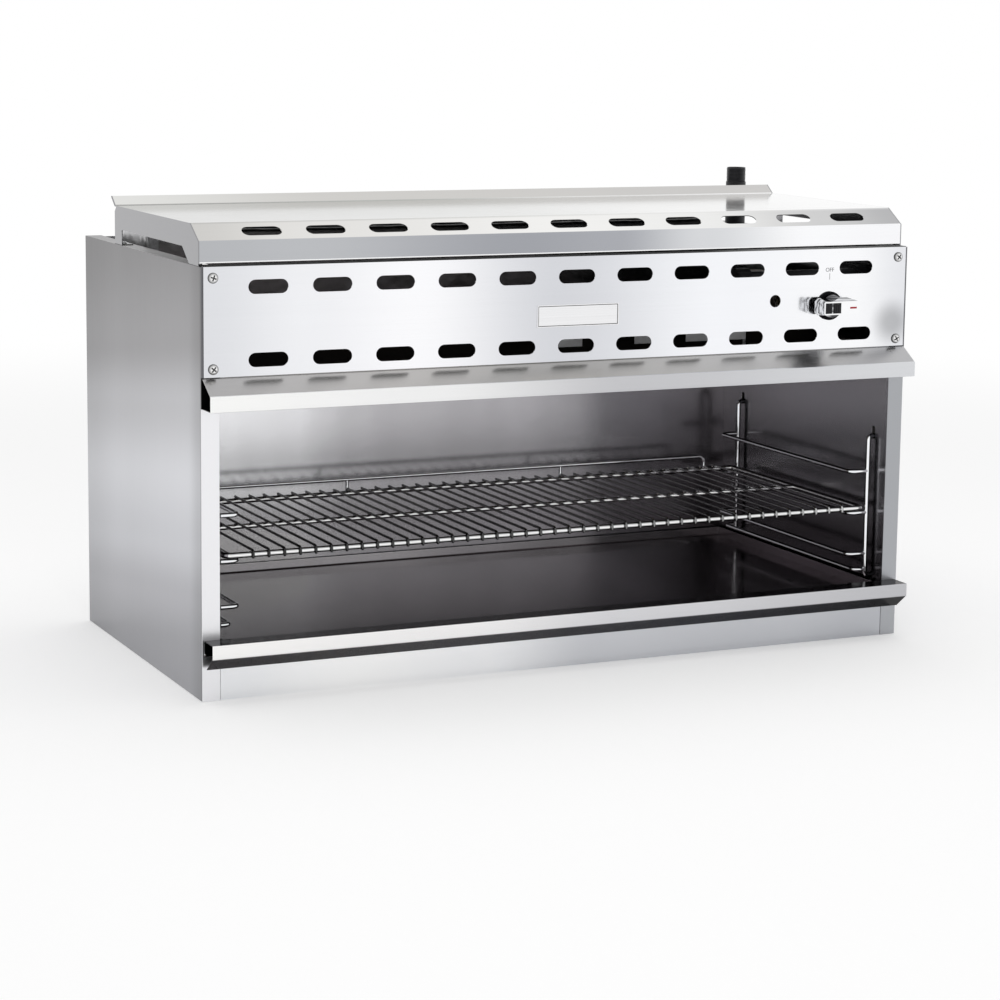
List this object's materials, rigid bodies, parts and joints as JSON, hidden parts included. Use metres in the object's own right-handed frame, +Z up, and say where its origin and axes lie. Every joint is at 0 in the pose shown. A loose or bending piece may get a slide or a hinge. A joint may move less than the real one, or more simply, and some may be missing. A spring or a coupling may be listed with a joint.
{
  "type": "cheese melter",
  "caption": "Open-fronted stainless steel gas cheese melter with ceiling burner, wire rack on wire guides, pull-out spillage pan, slotted control panel, vented top cover and rear gas inlet.",
  "frame": {"origin": "bottom centre of the whole part's bounding box, on the surface it stands on", "axes": "+Z up, the open front and the knob face -Y, and +X is to the viewer's right when facing the front"},
  "size_m": [0.9144, 0.4786, 0.565],
  "materials": {
    "stainless_satin": "satin stainless sheet",
    "stainless_bright": "bright annealed stainless sheet",
    "liner_steel": "aluminised liner sheet",
    "pan_steel": "dull stainless sheet",
    "burner_steel": "heat-darkened steel",
    "chrome": "bright chrome plate",
    "zinc_plate": "bright zinc plate",
    "black_pipe": "black malleable iron",
    "regulator_grey": "die-cast, grey",
    "brass": "machined brass",
    "black_plastic": "matt black",
    "index_red": "red index paint",
    "tile_ceramic": "perforated cordierite",
    "wool": "mineral wool blanket",
    "foil_wool": "foil-faced mineral wool",
    "gasket_fibre": "ceramic fibre strip",
    "aluminium_tube": "drawn aluminium tube"
  },
  "bodies": {
    "casing": {"side_panel_left": "stainless_satin", "side_panel_right": "stainless_satin", "back_panel": "stainless_satin", "bottom_panel": "liner_steel", "kick_panel": "stainless_satin", "front_panel": "stainless_bright", "hood_trim": "stainless_satin", "top_cover": "stainless_bright", "nameplate": "stainless_satin", "panel_screws": "chrome", "cover_screws": "zinc_plate", "back_screws": "zinc_plate", "leg_nuts": "zinc_plate", "liner_left": "liner_steel", "liner_right": "liner_steel", "liner_back": "liner_steel", "ceiling_panel": "liner_steel", "cavity_insulation": "wool", "ceiling_insulation": "wool", "flue_duct": "liner_steel", "flue_insulation": "foil_wool", "burner_plenum": "burner_steel", "burner_tiles": "tile_ceramic", "tile_gasket": "gasket_fibre", "tile_frame": "burner_steel", "radiant_screen": "burner_steel", "burner_screws": "zinc_plate", "air_baffles": "liner_steel", "mixer_tube": "burner_steel", "orifice_fitting": "brass", "gas_valve": "brass", "knob_bezel": "black_plastic", "manifold_pipe": "black_pipe", "manifold_cap": "black_pipe", "elbow_front": "black_pipe", "feed_pipe": "black_pipe", "pressure_regulator": "regulator_grey", "regulator_cap": "aluminium_tube", "supply_nipple": "black_pipe", "elbow_inlet": "black_pipe", "inlet_pipe": "black_pipe", "pilot_valve": "brass", "pilot_tube": "aluminium_tube", "pilot_burner": "zinc_plate", "rack_guide_left": "chrome", "rack_guide_right": "chrome", "pan_rails": "liner_steel"},
    "knob": {"knob": "chrome", "knob_inset": "black_plastic", "knob_index": "index_red", "knob_set_screw": "zinc_plate", "valve_stem": "zinc_plate"},
    "rack": {"rack_frame": "chrome", "rack_wires": "chrome", "rack_guard": "chrome"},
    "pan": {"spillage_pan": "pan_steel", "pan_handle": "stainless_satin"},
    "pilot_screw": {"pilot_screw": "brass"},
    "air_shutter": {"air_shutter": "zinc_plate"}
  },
  "joints": [
    {"name": "knob_turn", "type": "hinge", "parent": "casing", "child": "knob", "pos_m": [0.346, -0.22325, 0.419], "axis": [0, -1, 0], "range_deg": [0, 90]},
    {"name": "rack_slide", "type": "slide", "parent": "casing", "child": "rack", "axis": [0, -1, 0], "range_m": [0, 0.25]},
    {"name": "pan_slide", "type": "slide", "parent": "casing", "child": "pan", "axis": [0, -1, 0], "range_m": [0, 0.36]},
    {"name": "pilot_adjust", "type": "hinge", "parent": "casing", "child": "pilot_screw", "pos_m": [0.27, -0.19025, 0.427], "axis": [0, -1, 0], "range_deg": [-180, 180]},
    {"name": "air_shutter_turn", "type": "hinge", "parent": "casing", "child": "air_shutter", "pos_m": [0.346, -0.12955, 0.419], "axis": [0, -1, 0], "range_deg": [0, 40]}
  ]
}
